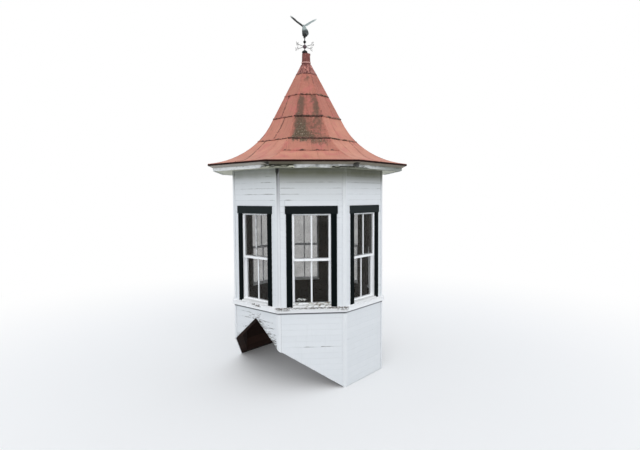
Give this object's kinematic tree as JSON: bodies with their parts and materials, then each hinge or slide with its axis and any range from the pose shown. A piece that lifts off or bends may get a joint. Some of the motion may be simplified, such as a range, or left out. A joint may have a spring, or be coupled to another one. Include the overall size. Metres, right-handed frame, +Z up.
{
  "type": "barn cupola",
  "caption": "Octagonal timber barn cupola with sash windows all round, a bell-cast sheet-metal roof and a turning bird weathervane, notched below to sit astride a gable ridge.",
  "frame": {"origin": "centre of the octagon on the level floor, at the lowest feet of the south and north walls", "axes": "+Z up, -Y the south side, +X the east side; the ridge that it straddles runs along X"},
  "size_m": [3.83, 3.83, 7.2244],
  "materials": {
    "white_paint": "peeling white paint",
    "black_paint": "black-green paint",
    "window_glass": "dusty clear",
    "framing_wood": "bare, darkened",
    "red_metal": "chalky faded red",
    "edge_metal": "dark red, matte",
    "dark_iron": "weathered black",
    "ball_copper": "dull red-brown",
    "verdigris": "grey-green patina"
  },
  "bodies": {
    "cupola": {"wall_south": "white_paint", "wall_southeast": "white_paint", "wall_east": "white_paint", "wall_northeast": "white_paint", "wall_north": "white_paint", "wall_northwest": "white_paint", "wall_west": "white_paint", "wall_southwest": "white_paint", "corner_boards": "white_paint", "belt_course": "white_paint", "window_frames": "white_paint", "window_sills": "white_paint", "side_casings": "black_paint", "head_casings": "black_paint", "upper_sashes": "white_paint", "lower_sashes": "white_paint", "window_panes": "window_glass", "soffit": "white_paint", "fascia": "white_paint", "crown_moulding": "white_paint", "wall_plate": "framing_wood", "hip_rafters": "framing_wood", "mast_block": "framing_wood", "roof_south": "red_metal", "roof_southeast": "red_metal", "roof_east": "red_metal", "roof_northeast": "red_metal", "roof_north": "red_metal", "roof_northwest": "red_metal", "roof_west": "red_metal", "roof_southwest": "red_metal", "drip_edge": "edge_metal", "hip_caps": "red_metal", "cross_seams": "red_metal", "spire_boot": "red_metal", "neck_collar": "red_metal", "cap_sleeve": "red_metal", "vane_base": "dark_iron", "vane_mast": "dark_iron", "compass_ball": "ball_copper", "compass_arms": "dark_iron", "upper_ball": "dark_iron"},
    "bird": {"bird_tube": "dark_iron", "bird_body": "verdigris", "bird_wings": "verdigris"}
  },
  "joints": [
    {"name": "vane_turn", "type": "hinge", "parent": "cupola", "child": "bird", "pos_m": [-0.017, 0.02, 6.76], "axis": [0, 0, 1], "continuous": true}
  ]
}
